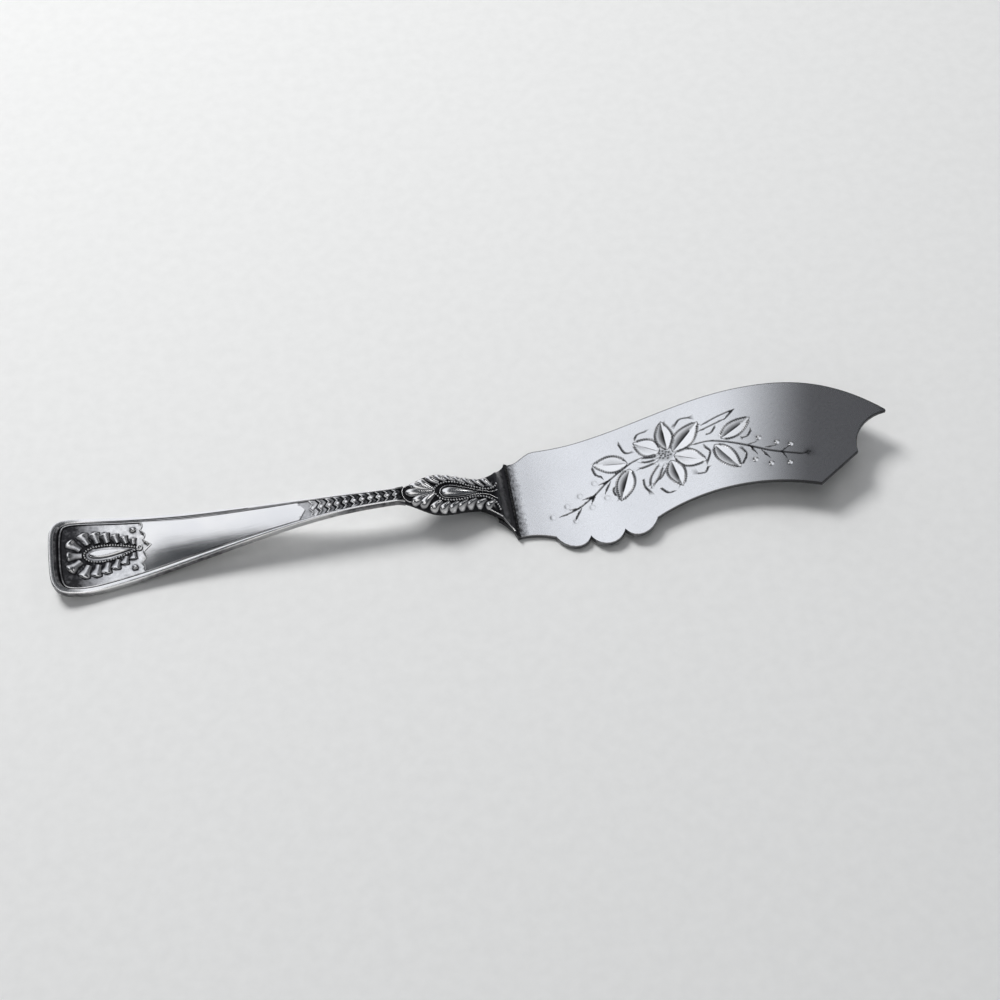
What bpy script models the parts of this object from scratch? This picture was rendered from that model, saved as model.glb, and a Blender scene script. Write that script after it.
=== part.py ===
"""A silver serving knife of the flat-server kind: a struck handle lapped onto a thin
notched blade and hard-soldered to it. Metres, +Z up, +X towards the blade's point.
The origin is on the table, under the line where the handle's shoulder ends."""
import math

import bpy
from mathutils import Vector

# Blade, seen from above. X runs from the shoulder line, Y across from the handle's axis.
BLADE_LENGTH = 0.0878
BLADE_THICKNESS = 0.0010
BLADE_BACK = 0.0176          # the curved back's widest point, out from the axis
BLADE_WIDEST = 0.056         # how far along that point is
BACK_START = 0.0110          # where the heel's step ends and the back's long curve begins
BACK_STEP = 0.0111           # the back's height just after the heel's step
BACK_TIP_SLOPE = 1.15        # how steeply the back comes down to the point
POINT_OFFSET = 0.0035        # the point's own distance from the axis
NOTCH_RADIUS = 0.0092        # quarter-round bite under the point
POINT_LENGTH = 0.0190        # from the point back to the lower corner
CORNER_DROP = 0.0119         # the lower corner, down from the axis
EDGE_HOLLOW = 0.0040         # depth of the lower edge's long hollow curve
SCALLOP_COUNT = 3
SCALLOP_START = 0.0083       # first cusp, from the shoulder line
SCALLOP_RUN = 0.0233         # all the scallops together
SCALLOP_DEPTH = 0.0025       # how far each one bulges out from its two cusps
SCALLOP_BASE = 0.0122        # the outer cusps, down from the axis
SCALLOP_BOW = 0.0018         # how much lower the cusps in the middle are
HEEL_HOLLOW = 0.0006         # the shallow hollow between shoulder and first scallop
RISE_SLOPE = 0.105           # the blade climbs towards its point by this much a metre
BEND_START = 0.0045          # the flat heel ends here
BEND_END = 0.0175            # the straight climb begins here

# Handle, from its broad end to the shoulder.
HANDLE_LENGTH = 0.1029
END_WIDTH = 0.0193
END_ROUND = 0.0080           # length of the rounded end
END_SQUARENESS = 4.4         # 2 is a round end, higher is squarer
END_TAPER = 0.13             # inward slope of each edge just after the broad end
END_THICKNESS = 0.0022
END_LIFT = 0.0020            # the end is turned up by this much
REST_FROM_END = 0.0120       # the underside touches the table here
STEM_WIDTH = 0.0035
STEM_PLACE = 0.0256          # narrowest place, back from the shoulder line
STEM_THICKNESS = 0.0021
ARCH_HEIGHT = 0.0069         # clear height under the stem
ARCH_PLACE = 0.0315          # where the arch reaches that height, back from the shoulder line
NECK_WIDTH = 0.0103
NECK_PLACE = 0.0163          # widest place of the neck's ornament
NECK_THICKNESS = 0.0041
NECK_DROP = 0.0255           # where the neck begins to come down to the table
NECK_FALL = 1.15             # 1 is a straight slope down, higher starts more gently
WAIST_WIDTH = 0.0078
WAIST_PLACE = 0.0072
SHOULDER_BACK = 0.0087       # the shoulder line's end on the back's side, from the axis
SHOULDER_EDGE = 0.0112       # and on the scalloped side
FLARE_ROUNDNESS = 1.5        # 2 is an elliptical flare, lower is fuller
COVE_LENGTH = 0.0026         # hollow slope from the neck down to the blade
LIP = 0.00035                # metal left at the shoulder's front edge

# Lap joint: the blade's heel sits in a step under the shoulder on a film of solder.
LAP_LENGTH = 0.0035
HEEL_INSET = 0.0002          # the heel stays inside the shoulder's outline by this much
SOLDER_FILM = 0.0002
SOLDER_FILLET = 0.0006       # the run of solder in front of the shoulder
JOINT_GAP = 0.00005          # clear space kept between the solids

# Facet counts
CORNER_FACETS = 3
ARC_FACETS = 10

SOLDER_BOTTOM = BLADE_THICKNESS + JOINT_GAP
SEAT_HEIGHT = SOLDER_BOTTOM + SOLDER_FILM + JOINT_GAP
LIP_HEIGHT = SEAT_HEIGHT + LIP


def ease(amount):
    """A smooth step from 0 to 1."""
    amount = min(max(amount, 0.0), 1.0)
    return amount * amount * (3.0 - 2.0 * amount)


def between(first, last, count):
    """Evenly spaced values from first to last, both included."""
    return [first + (last - first) * step / count for step in range(count + 1)]


def hermite(amount, start, start_rise, end, end_rise):
    """A cubic through two values with the rise over the whole span given at each."""
    square = amount * amount
    cube = square * amount
    value = start * (2.0 * cube - 3.0 * square + 1.0)
    value += start_rise * (cube - 2.0 * square + amount)
    value += end * (3.0 * square - 2.0 * cube)
    return value + end_rise * (cube - square)


def arc_offset(x, first, last, depth):
    """How far a circular arc of the given depth stands off its chord at x."""
    half = (last - first) / 2.0
    radius = (half * half + depth * depth) / (2.0 * depth)
    from_middle = x - (first + last) / 2.0
    return math.sqrt(max(radius * radius - from_middle * from_middle, 0.0)) - radius + depth


# Handle outline and height


def handle_half_width(x, shoulder):
    """Half width at x, for the side whose shoulder ends at the given distance."""
    from_end = x + HANDLE_LENGTH
    half_end = END_WIDTH / 2.0
    half_stem = STEM_WIDTH / 2.0
    half_neck = NECK_WIDTH / 2.0
    half_waist = WAIST_WIDTH / 2.0
    if from_end < END_ROUND:
        inward = 1.0 - from_end / END_ROUND
        return half_end * (1.0 - inward ** END_SQUARENESS) ** (1.0 / END_SQUARENESS)
    if x < -STEM_PLACE:
        span = HANDLE_LENGTH - STEM_PLACE - END_ROUND
        amount = (from_end - END_ROUND) / span
        return hermite(amount, half_end, -END_TAPER * span, half_stem, 0.0)
    if x < -NECK_PLACE:
        amount = ease((x + STEM_PLACE) / (STEM_PLACE - NECK_PLACE))
        return half_stem + (half_neck - half_stem) * amount
    if x < -WAIST_PLACE:
        amount = ease((x + NECK_PLACE) / (NECK_PLACE - WAIST_PLACE))
        return half_neck + (half_waist - half_neck) * amount
    amount = min((x + WAIST_PLACE) / WAIST_PLACE, 1.0)
    flare = 1.0 - (1.0 - amount ** FLARE_ROUNDNESS) ** (1.0 / FLARE_ROUNDNESS)
    return half_waist + (shoulder - half_waist) * flare


def handle_underside(x):
    """Height of the underside: end turned up, arched stem, then the slope down to the lap."""
    from_end = x + HANDLE_LENGTH
    if from_end < REST_FROM_END:
        return END_LIFT * (1.0 - from_end / REST_FROM_END) ** 2
    if x < -ARCH_PLACE:
        span = HANDLE_LENGTH - ARCH_PLACE - REST_FROM_END
        return ARCH_HEIGHT * ease((from_end - REST_FROM_END) / span)
    amount = min(max((x + NECK_DROP) / (NECK_DROP - LAP_LENGTH), 0.0), 1.0)
    return ARCH_HEIGHT * (1.0 - amount ** NECK_FALL)


def handle_top(x):
    """Height of the top: underside and thickness, then the cove down to the lip."""
    slim = ease((x + HANDLE_LENGTH) / (HANDLE_LENGTH - STEM_PLACE))
    thickness = END_THICKNESS + (STEM_THICKNESS - END_THICKNESS) * slim
    full = ease((x + STEM_PLACE) / (STEM_PLACE - WAIST_PLACE))
    thickness += (NECK_THICKNESS - STEM_THICKNESS) * full
    top = handle_underside(x) + thickness
    if x > -COVE_LENGTH:
        top = LIP_HEIGHT + (top - LIP_HEIGHT) * (x / COVE_LENGTH) ** 2
    return top


# Blade outline


def blade_back(x):
    """The blade's smooth side."""
    if x <= 0.0:
        return handle_half_width(x, SHOULDER_BACK) - HEEL_INSET
    if x < BACK_START:
        step = ease((x - BACK_START * 0.12) / (BACK_START * 0.52))
        foot = SHOULDER_BACK - HEEL_INSET
        return foot + (BACK_STEP - foot) * step
    if x < BLADE_WIDEST:
        rise = ease((x - BACK_START) / (BLADE_WIDEST - BACK_START))
        return BACK_STEP + (BLADE_BACK - BACK_STEP) * rise
    span = BLADE_LENGTH - BLADE_WIDEST
    amount = (x - BLADE_WIDEST) / span
    return hermite(amount, BLADE_BACK, 0.0, POINT_OFFSET, -BACK_TIP_SLOPE * span)


def scallop_cusp(number):
    """Place of one cusp, from the shoulder line and from the axis."""
    amount = number / SCALLOP_COUNT
    bow = SCALLOP_BOW * 4.0 * amount * (1.0 - amount)
    return SCALLOP_START + SCALLOP_RUN * amount, -SCALLOP_BASE - bow


def blade_edge(x):
    """The blade's scalloped and hollowed side."""
    corner = BLADE_LENGTH - POINT_LENGTH
    cusp = BLADE_LENGTH - NOTCH_RADIUS
    last_scallop = SCALLOP_START + SCALLOP_RUN
    if x <= 0.0:
        return HEEL_INSET - handle_half_width(x, SHOULDER_EDGE)
    if x < SCALLOP_START:
        foot = HEEL_INSET - SHOULDER_EDGE
        chord = foot + (-SCALLOP_BASE - foot) * x / SCALLOP_START
        return chord + arc_offset(x, 0.0, SCALLOP_START, HEEL_HOLLOW)
    if x < last_scallop:
        number = min(int((x - SCALLOP_START) / SCALLOP_RUN * SCALLOP_COUNT), SCALLOP_COUNT - 1)
        first_x, first_y = scallop_cusp(number)
        last_x, last_y = scallop_cusp(number + 1)
        chord = first_y + (last_y - first_y) * (x - first_x) / (last_x - first_x)
        return chord - arc_offset(x, first_x, last_x, SCALLOP_DEPTH)
    if x < corner:
        amount = (x - last_scallop) / (corner - last_scallop)
        chord = -SCALLOP_BASE + (SCALLOP_BASE - CORNER_DROP) * amount
        return chord + arc_offset(x, last_scallop, corner, EDGE_HOLLOW)
    cusp_y = POINT_OFFSET - NOTCH_RADIUS
    if x < cusp:
        return -CORNER_DROP + (cusp_y + CORNER_DROP) * (x - corner) / (cusp - corner)
    from_point = BLADE_LENGTH - x
    return cusp_y + math.sqrt(max(NOTCH_RADIUS ** 2 - from_point ** 2, 0.0))


def blade_underside(x):
    """Flat heel, a gentle bend, then a straight climb to the point."""
    if x < BEND_START:
        return 0.0
    span = BEND_END - BEND_START
    if x < BEND_END:
        return RISE_SLOPE * (x - BEND_START) ** 2 / (2.0 * span)
    return RISE_SLOPE * (x - BEND_END + span / 2.0)


# Meshes


def material(name, colour, roughness):
    made = bpy.data.materials.new(name)
    made.use_nodes = True
    shader = made.node_tree.nodes["Principled BSDF"]
    shader.inputs["Base Color"].default_value = (*colour, 1.0)
    shader.inputs["Metallic"].default_value = 1.0
    shader.inputs["Roughness"].default_value = roughness
    return made


def loft(name, rings, surface):
    """A closed solid through rings of equal point counts, capped at both ends."""
    count = len(rings[0])
    points = [point for ring in rings for point in ring]
    faces = [tuple(range(count))]
    for ring in range(len(rings) - 1):
        start = ring * count
        for corner in range(count):
            following = (corner + 1) % count
            faces.append((start + following, start + corner,
                          start + count + corner, start + count + following))
    last = (len(rings) - 1) * count
    faces.append(tuple(last + corner for corner in reversed(range(count))))
    mesh = bpy.data.meshes.new(name)
    mesh.from_pydata(points, [], faces)
    mesh.update()
    mesh.materials.append(surface)
    made = bpy.data.objects.new(name, mesh)
    bpy.context.scene.collection.objects.link(made)
    return made


def plain_ring(x, low, high, bottom, top):
    """Four corners, going round the same way as the rounded ring."""
    return [Vector((x, low, bottom)), Vector((x, low, top)),
            Vector((x, high, top)), Vector((x, high, bottom))]


def rounded_ring(x, low, high, bottom, top):
    """A rectangle with rounded corners."""
    radius = 0.4 * min(top - bottom, high - low)
    corners = ((low + radius, bottom + radius, 270.0), (low + radius, top - radius, 180.0),
               (high - radius, top - radius, 90.0), (high - radius, bottom + radius, 0.0))
    ring = []
    for y, z, start in corners:
        for turn in between(start, start - 90.0, CORNER_FACETS):
            angle = math.radians(turn)
            ring.append(Vector((x, y + radius * math.cos(angle), z + radius * math.sin(angle))))
    return ring


for old in list(bpy.data.objects):
    bpy.data.objects.remove(old, do_unlink=True)

# Handle: one struck piece, from the broad end to the shoulder's lip
stations = []
for turn in between(8.0, 90.0, 7):
    inward = math.cos(math.radians(turn)) ** (2.0 / END_SQUARENESS)
    stations.append(END_ROUND * (1.0 - inward) - HANDLE_LENGTH)
stations[0] = stations[0] - 0.5 * (stations[0] + HANDLE_LENGTH)
stations += between(END_ROUND - HANDLE_LENGTH, -STEM_PLACE, 18)[1:]
stations += between(-STEM_PLACE, -WAIST_PLACE, 16)[1:]
stations += between(-WAIST_PLACE, -COVE_LENGTH, 6)[1:]
stations += between(-COVE_LENGTH, 0.0, 8)[1:]
rings = []
for x in stations:
    low = -handle_half_width(x, SHOULDER_EDGE)
    high = handle_half_width(x, SHOULDER_BACK)
    rings.append(rounded_ring(x, low, high, handle_underside(x), handle_top(x)))
handle = loft("handle", rings, material("oxidised silver", (0.42, 0.42, 0.43), 0.32))

# The step under the shoulder that the blade's heel sits in
reach = 2.0 * max(SHOULDER_BACK, SHOULDER_EDGE)
step_rings = [plain_ring(-LAP_LENGTH, -reach, reach, -SEAT_HEIGHT, SEAT_HEIGHT),
              plain_ring(LAP_LENGTH, -reach, reach, -SEAT_HEIGHT, SEAT_HEIGHT)]
step = loft("step_cutter", step_rings, handle.data.materials[0])
step.hide_render = True
step.display_type = "WIRE"
cut = handle.modifiers.new("step", "BOOLEAN")
cut.operation = "DIFFERENCE"
cut.solver = "EXACT"
cut.object = step

# Blade: rolled sheet sawn to outline and bent up, its heel running under the shoulder
heel = JOINT_GAP - LAP_LENGTH
stations = between(heel, 0.0, 6)
stations += between(0.0, SCALLOP_START, 8)[1:]
for number in range(SCALLOP_COUNT):
    first = scallop_cusp(number)[0]
    last = scallop_cusp(number + 1)[0]
    for turn in between(0.0, 180.0, ARC_FACETS)[1:]:
        amount = (1.0 - math.cos(math.radians(turn))) / 2.0
        stations.append(first + (last - first) * amount)
corner = BLADE_LENGTH - POINT_LENGTH
stations += between(SCALLOP_START + SCALLOP_RUN, corner, 2 * ARC_FACETS)[1:]
stations += between(corner, BLADE_LENGTH - NOTCH_RADIUS, 6)[1:]
for turn in between(0.0, 88.0, ARC_FACETS)[1:]:
    stations.append(BLADE_LENGTH - NOTCH_RADIUS * math.cos(math.radians(turn)))
rings = []
for x in stations:
    bottom = blade_underside(x)
    rings.append(plain_ring(x, blade_edge(x), blade_back(x), bottom, bottom + BLADE_THICKNESS))
loft("blade", rings, material("satin silver", (0.80, 0.80, 0.79), 0.36))

# Solder: the film in the lap and the small fillet in front of the lip
rings = []
for x in between(heel, 0.0, 6):
    rings.append(plain_ring(x, blade_edge(x), blade_back(x), SOLDER_BOTTOM,
                            SOLDER_BOTTOM + SOLDER_FILM))
low = blade_edge(0.0)
high = blade_back(0.0)
fillet_top = SOLDER_BOTTOM + SOLDER_FILM + 0.8 * LIP
rings.append(plain_ring(2.0 * JOINT_GAP, low, high, SOLDER_BOTTOM, fillet_top))
rings.append(plain_ring(2.0 * JOINT_GAP + SOLDER_FILLET, low, high, SOLDER_BOTTOM,
                        SOLDER_BOTTOM + 0.3 * SOLDER_FILM))
loft("solder_seam", rings, material("silver solder", (0.30, 0.29, 0.28), 0.5))
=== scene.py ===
import math

import bmesh
import bpy
import numpy as np
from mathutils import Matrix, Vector
from mathutils.geometry import delaunay_2d_cdt


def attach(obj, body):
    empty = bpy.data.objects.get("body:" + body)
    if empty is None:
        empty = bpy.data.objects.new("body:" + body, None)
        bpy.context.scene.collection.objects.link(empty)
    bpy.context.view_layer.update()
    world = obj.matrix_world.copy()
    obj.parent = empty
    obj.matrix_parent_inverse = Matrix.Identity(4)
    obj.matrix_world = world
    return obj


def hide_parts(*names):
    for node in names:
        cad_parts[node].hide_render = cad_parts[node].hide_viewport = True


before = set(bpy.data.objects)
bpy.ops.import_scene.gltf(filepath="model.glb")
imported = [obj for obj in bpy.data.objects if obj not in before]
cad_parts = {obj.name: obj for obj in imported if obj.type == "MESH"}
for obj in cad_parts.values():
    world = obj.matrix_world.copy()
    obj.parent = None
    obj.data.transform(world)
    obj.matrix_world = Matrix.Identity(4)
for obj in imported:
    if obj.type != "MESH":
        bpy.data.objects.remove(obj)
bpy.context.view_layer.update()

# Shaft of the handle: a bar of silver struck between two dies, from the broad end to the thin stem.
# The die gives it a rounded rim, a thread inside the rim, a sunk ground at the end, a plain crowned panel
# and a channel along the stem. Polish is left on what stands up, and oxide stays in what lies deep.
# Painted shade darkens its side walls, the front of the rim, the broad end and the channel by the neck.
MM = 0.001
neck_start = -23.8 * MM
end_round_start = -94.9 * MM
border_width = 1.65 * MM
end_border = 0.7
wide_half = 6.4 * MM
step_top = 1.4 * MM
lap_start = -3.6 * MM
ground_depth = 0.42 * MM
panel_depth = 0.14 * MM
panel_crown = 0.60 * MM
channel_depth = 0.34 * MM
panel_relief = 0.95
rim_relief = 0.92
rim_profile = (
    (0.00, -0.60), (0.02, -0.32), (0.05, -0.15), (0.11, -0.06), (0.22, -0.02), (0.42, 0.00), (0.68, 0.01),
    (0.90, 0.00), (1.00, -0.06), (1.07, -0.20), (1.13, -0.32), (1.18, -0.34), (1.23, -0.28), (1.29, -0.16),
    (1.36, -0.12), (1.44, -0.12), (1.50, -0.18), (1.56, -0.36), (1.60, -0.42),
)
rim_crest, groove_end, thread_end = 0.6, 1.25, 1.47
back_profile = ((0.85, 0.00), (0.45, 0.05), (0.20, 0.22), (0.05, 0.55))


def stations_of(node):
    """The solid's corners gathered in rings along x: x, lowest y and z, highest y and z."""
    corners = np.array([corner.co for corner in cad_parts[node].data.vertices])
    places = np.round(corners[:, 0], 6)
    rings = []
    for x in np.unique(places):
        ring = corners[places == x]
        rings.append((x, *ring[:, 1:].min(axis=0), *ring[:, 1:].max(axis=0)))
    return np.array(rings)


def smooth_line(xs, ys):
    """A curve through the given points that never overshoots between them."""
    step = np.diff(xs)
    slope = np.diff(ys) / step
    tangent = np.concatenate(([slope[0]], np.zeros(len(xs) - 2), [slope[-1]]))
    same = slope[:-1] * slope[1:] > 0
    before = (2 * step[1:] + step[:-1])[same]
    after = (step[1:] + 2 * step[:-1])[same]
    tangent[1:-1][same] = (before + after) / (before / slope[:-1][same] + after / slope[1:][same])

    def at(x):
        x = np.clip(x, xs[0], xs[-1])
        i = np.clip(np.searchsorted(xs, x) - 1, 0, len(xs) - 2)
        t = (x - xs[i]) / step[i]
        start = (1 + 2 * t) * (1 - t) ** 2 * ys[i] + t * (1 - t) ** 2 * step[i] * tangent[i]
        return start + t * t * (3 - 2 * t) * ys[i + 1] + t * t * (t - 1) * step[i] * tangent[i + 1]

    return at


handle_rings = stations_of("handle")
handle_rings = handle_rings[handle_rings[:, 4] > step_top]
half_edge = smooth_line(handle_rings[:, 0], -handle_rings[:, 1])
half_back = smooth_line(handle_rings[:, 0], handle_rings[:, 3])
top_line = smooth_line(handle_rings[:, 0], handle_rings[:, 4])
unstepped = handle_rings[handle_rings[:, 0] < lap_start]
under_line = smooth_line(unstepped[:, 0], unstepped[:, 2])


def ramp(x, start, end):
    """Nothing before start, one after end, and an even climb between."""
    return np.clip((x - start) / (end - start), 0, 1)


def eased(t):
    """An even climb made soft at both ends."""
    return t * t * (3 - 2 * t)


def border_scale(x):
    """The border narrows with the handle."""
    return np.clip(half_back(np.maximum(x, end_round_start)) / wide_half, 0.27, 1.0)


def panel_half(x):
    return half_back(x) - border_width * border_scale(x)


def bracket_line(y):
    """Where the sunk ground of the end meets the plain panel: a point between two pairs of scallops."""
    a = np.abs(y) / MM
    point = 1.75 * np.clip(1 - a / 1.5, 0, 1)
    scallops = 0.75 * np.cos(np.clip((a - 2.8) / 1.3, -1, 1) * math.pi / 2)
    scallops += 0.55 * np.cos(np.clip((a - 5.3) / 1.2, -1, 1) * math.pi / 2)
    return (-82.35 - 0.19 * np.clip(a - 1.5, 0, 2.6) + point + scallops) * MM


def channel_line(y):
    """Where the plain panel ends on the stem: a shallow point towards the blade."""
    return -45.9 * MM - 0.65 * np.abs(y)


def panel_height(x, y):
    """The plain panel, crowned across. Its crest moves from the back, at the bracket, to the front."""
    half = np.maximum(panel_half(x), 0.5 * MM)
    lean = 0.36 - 0.72 * ramp(x, -80.0 * MM, -54.0 * MM)
    grown = 0.65 + 0.35 * eased(ramp(x - bracket_line(y), 0.0, 12.0 * MM))
    crown = panel_crown * (half / (6.0 * MM)) ** 2 * (1 - (np.clip(y / half, -1, 1) - lean) ** 2)
    return -panel_depth + crown * grown


def inlay_height(x, y):
    """Height of what lies inside the border, measured from the crest of the rim."""
    height = np.where(x < bracket_line(y) - 0.05 * MM, -ground_depth, panel_height(x, y))
    return np.where(x > channel_line(y) + 0.05 * MM, -channel_depth, height)


def shaft_surface(x, y):
    return top_line(x) + inlay_height(x, y)


def even_points(points, gap):
    """The same line with its points set a like gap apart."""
    points = np.asarray(points, dtype=float)
    run = np.concatenate(([0.0], np.cumsum(np.linalg.norm(np.diff(points, axis=0), axis=1))))
    count = max(2, int(round(run[-1] / gap)) + 1)
    places = np.linspace(0.0, run[-1], count)
    return np.column_stack([np.interp(places, run, points[:, i]) for i in range(points.shape[1])])


def inside(points, loop):
    """Which points lie inside a closed loop."""
    x, y = points[:, 0], points[:, 1]
    found = np.zeros(len(points), dtype=bool)
    for (ax, ay), (bx, by) in zip(loop, np.roll(loop, -1, axis=0)):
        if ay == by:
            continue
        crosses = (ay > y) != (by > y)
        found ^= crosses & (x < (bx - ax) * (y - ay) / (by - ay) + ax)
    return found


def fill_plan(loop, lines, spots):
    """Triangles that fill a closed loop and keep the given lines as edges: plan points and faces."""
    points = [Vector(p) for p in loop / MM]
    edges = [(i, (i + 1) % len(loop)) for i in range(len(loop))]
    for line in lines:
        first = len(points)
        points += [Vector(p) for p in line / MM]
        edges += [(i, i + 1) for i in range(first, len(points) - 1)]
    points += [Vector(p) for p in spots / MM]
    points, _, faces, _, _, _ = delaunay_2d_cdt(points, edges, [], 0, 1e-4)
    plan = np.array([tuple(p) for p in points]) * MM
    faces = np.array([tuple(f) for f in faces])
    a, b, c = plan[faces[:, 0]], plan[faces[:, 1]], plan[faces[:, 2]]
    turn = (b[:, 0] - a[:, 0]) * (c[:, 1] - a[:, 1]) - (b[:, 1] - a[:, 1]) * (c[:, 0] - a[:, 0])
    faces[turn < 0] = faces[turn < 0][:, ::-1]
    return plan, faces[inside((a + b + c) / 3, loop)]


def make_piece(name, corners, faces, materials, marks=None, crease=40.0, tints=None):
    """A closed piece from corners and faces. marks are numbers kept at its corners, for its material."""
    bm = bmesh.new()
    layers = {key: bm.verts.layers.float.new(key) for key in (marks or {})}
    made = [bm.verts.new(corner) for corner in corners]
    for key, values in (marks or {}).items():
        for corner, value in zip(made, values):
            corner[layers[key]] = value
    for i, face in enumerate(faces):
        new = bm.faces.new([made[k] for k in face])
        new.material_index = 0 if tints is None else int(tints[i])
    bmesh.ops.remove_doubles(bm, verts=bm.verts, dist=1e-6)
    bmesh.ops.recalc_face_normals(bm, faces=bm.faces)
    for face in bm.faces:
        face.smooth = True
    for edge in bm.edges:
        edge.smooth = edge.calc_face_angle(0.0) < math.radians(crease)
    mesh = bpy.data.meshes.new(name)
    bm.to_mesh(mesh)
    bm.free()
    for material in materials:
        mesh.materials.append(material)
    piece = bpy.data.objects.new(name, mesh)
    bpy.context.scene.collection.objects.link(piece)
    return piece


def add_node(tree, kind, settings=None, **sockets):
    """A node with its settings and sockets. A socket takes a value, an output, or a node's first output."""
    made = tree.nodes.new(kind)
    for key, value in (settings or {}).items():
        setattr(made, key, value)
    for label, value in sockets.items():
        label = label.replace("_", " ")
        socket = made.inputs[int(label[3:])] if label.startswith("at ") else made.inputs[label]
        if isinstance(value, bpy.types.Node):
            value = value.outputs[0]
        if isinstance(value, bpy.types.NodeSocket):
            tree.links.new(value, socket)
        else:
            socket.default_value = value
    return made


def colour_steps(tree, factor, steps):
    """A colour ramp of grey or coloured steps."""
    shades = add_node(tree, "ShaderNodeValToRGB", Fac=factor)
    marks = shades.color_ramp.elements
    while len(marks) < len(steps):
        marks.new(0.5)
    for mark, (place, colour) in zip(marks, steps):
        mark.position = place
        mark.color = (*colour, 1.0)
    return shades.outputs["Color"]


def maths(tree, operation, *values):
    """What comes out when two or three values are put together."""
    sockets = {f"at_{i}": value for i, value in enumerate(values)}
    return add_node(tree, "ShaderNodeMath", {"operation": operation}, **sockets).outputs[0]


def ranged(tree, value, low, high, start=0.0, end=1.0, kind="LINEAR"):
    """A value carried over from one range to another, and held at its ends."""
    return add_node(tree, "ShaderNodeMapRange", {"interpolation_type": kind}, Value=value, From_Min=low,
                    From_Max=high, To_Min=start, To_Max=end).outputs[0]


def noise(tree, place, scale, detail, roughness=0.5):
    return add_node(tree, "ShaderNodeTexNoise", Vector=place, Scale=scale, Detail=detail,
                    Roughness=roughness).outputs["Fac"]


def blend(tree, factor, first, second, how="MIX"):
    """Two colours mixed by a factor."""
    return add_node(tree, "ShaderNodeMix", {"data_type": "RGBA", "blend_type": how}, Factor=factor, A=first,
                    B=second).outputs["Result"]


def new_material(name):
    """A bare material, its tree, and where a point lies on the object."""
    material = bpy.data.materials.new(name)
    material.use_nodes = True
    material.node_tree.nodes.clear()
    place = add_node(material.node_tree, "ShaderNodeTexCoord").outputs["Object"]
    return material, material.node_tree, place


def finish_metal(tree, colour, roughness, normal):
    """Ends a material's tree as a metal."""
    metal = add_node(tree, "ShaderNodeBsdfPrincipled", Metallic=1.0, Base_Color=colour, Roughness=roughness,
                     Normal=normal)
    add_node(tree, "ShaderNodeOutputMaterial", Surface=metal)


def struck_silver(name, oxide, polish):
    """Silver from the die: oxide is how far up the raised work the dark goes, polish how rough the crests
    are.
    The mark it reads holds oxide, and on some pieces painted shade and painted highlight.
    """
    material, tree, place = new_material(name)
    relief_and_painted_shade = add_node(tree, "ShaderNodeAttribute", {"attribute_name": "relief_and_painted_shade"}).outputs["Fac"]
    blotch = maths(tree, "MULTIPLY_ADD", noise(tree, place, 900.0, 4.0, 0.6), 0.36, -0.18)
    worn = maths(tree, "ADD", relief_and_painted_shade, blotch)
    tone = colour_steps(tree, worn, (
        (0.0, (0.014, 0.014, 0.016)), (oxide * 0.55, (0.06, 0.06, 0.065)),
        (oxide, (0.42, 0.42, 0.43)), (min(oxide + 0.3, 1.0), (0.93, 0.925, 0.92))))
    drift = noise(tree, place, 90.0, 2.0)
    film = colour_steps(tree, drift, ((0.35, (0.90, 0.90, 0.91)), (0.65, (1.0, 0.99, 0.98))))
    along = add_node(tree, "ShaderNodeMapping", Vector=place, Scale=(120.0, 5200.0, 400.0))
    brushing = noise(tree, along, 1.0, 3.0)
    rough = ranged(tree, worn, 0.1, oxide + 0.25, 0.52, polish)
    rougher = maths(tree, "MULTIPLY_ADD", brushing, 0.10, rough)
    grain = maths(tree, "ADD", brushing, noise(tree, place, 4200.0, 3.0))
    wheel = noise(tree, place, 210.0, 1.0)
    wavy = add_node(tree, "ShaderNodeBump", Strength=0.5, Distance=0.05 * MM, Height=wheel)
    bump = add_node(tree, "ShaderNodeBump", Strength=0.16, Distance=0.04 * MM, Height=grain,
                    Normal=wavy)
    finish_metal(tree, blend(tree, 1.0, tone, film, "MULTIPLY"), rougher, bump)
    return material


shaft_silver = struck_silver("struck_silver", 0.42, 0.12)

back_side = handle_rings[handle_rings[:, 0] < neck_start - 0.3 * MM][:, (0, 3)]
edge_side = back_side * (1, -1)
end_middle = np.array([(back_side[0, 0] - 0.02 * MM, 0.0)])
start_half = float(half_back(neck_start))
outline = np.concatenate(([(neck_start, start_half)], back_side[::-1], end_middle, edge_side,
                          [(neck_start, -start_half)]))
# Three rounds of cutting the corners make the outline smooth.
for _ in range(3):
    cut = np.empty((2 * len(outline) - 2, 2))
    cut[0::2] = 0.75 * outline[:-1] + 0.25 * outline[1:]
    cut[1::2] = 0.25 * outline[:-1] + 0.75 * outline[1:]
    outline = np.concatenate((outline[:1], cut, outline[-1:]))
outline = even_points(outline, 0.4 * MM)
run = np.gradient(outline, axis=0)
inward = np.column_stack((-run[:, 1], run[:, 0])) / np.linalg.norm(run, axis=1)[:, None]
inward[0] = (0.0, -1.0)
inward[-1] = (0.0, 1.0)
# The border is broader across the very end than along the sides.
scale = border_scale(outline[:, 0])
spread = inward * scale[:, None] * (1 + end_border, 1)


def drawn_in(inset):
    """The outline drawn in by an inset in millimetres, with its corners at the broad end rounded off."""
    plan = outline + spread * inset * MM
    soft = plan.copy()
    for _ in range(int(30 * inset)):
        soft[1:-1] = (soft[:-2] + 2 * soft[1:-1] + soft[2:]) / 4
    return plan + (soft - plan) * ramp(plan[:, 0], -88.0 * MM, -92.0 * MM)[:, None]
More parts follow.
